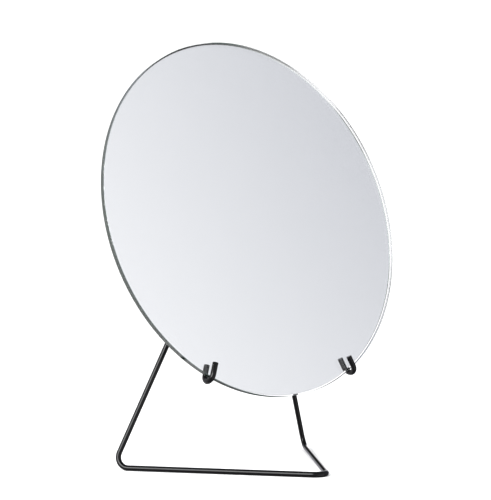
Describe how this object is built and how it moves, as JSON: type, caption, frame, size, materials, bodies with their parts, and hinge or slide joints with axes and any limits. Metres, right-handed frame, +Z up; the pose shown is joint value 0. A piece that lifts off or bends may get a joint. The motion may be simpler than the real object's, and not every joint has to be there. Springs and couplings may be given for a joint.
{
  "type": "countertop mirror",
  "caption": "Round frameless mirror leaning back in the hooks of a bent black wire stand with a V-shaped base.",
  "frame": {"origin": "on the table, under the middle of the whole object", "axes": "+X to the right as the mirror's user sees it, +Y to the back, +Z up; the mirror faces -Y and leans back"},
  "size_m": [0.2, 0.092, 0.2351],
  "materials": {
    "wire_coating": "semi-gloss black powder coat on round steel wire",
    "mirror_glass": "clear polished float glass with ground edges, faint green at the rim",
    "silvering": "bright reflective silvering behind the glass",
    "backing_paint": "matt grey protective paint film on the back of the silvering"
  },
  "bodies": {
    "wire_stand": {"front_bend": "wire_coating", "base_runner_left": "wire_coating", "base_runner_right": "wire_coating", "rear_corner_left": "wire_coating", "rear_corner_right": "wire_coating", "rear_leg_left": "wire_coating", "rear_leg_right": "wire_coating", "top_bend_left": "wire_coating", "top_bend_right": "wire_coating", "arm_left": "wire_coating", "arm_right": "wire_coating", "hook_left": "wire_coating", "hook_right": "wire_coating"},
    "mirror": {"mirror_glass": "mirror_glass", "silver_coating": "silvering", "backing_paint": "backing_paint"}
  },
  "joints": [
    {"name": "mirror_lift", "type": "slide", "parent": "wire_stand", "child": "mirror", "axis": [0, 0.2079, 0.9781], "range_m": [0, 0.02]}
  ]
}
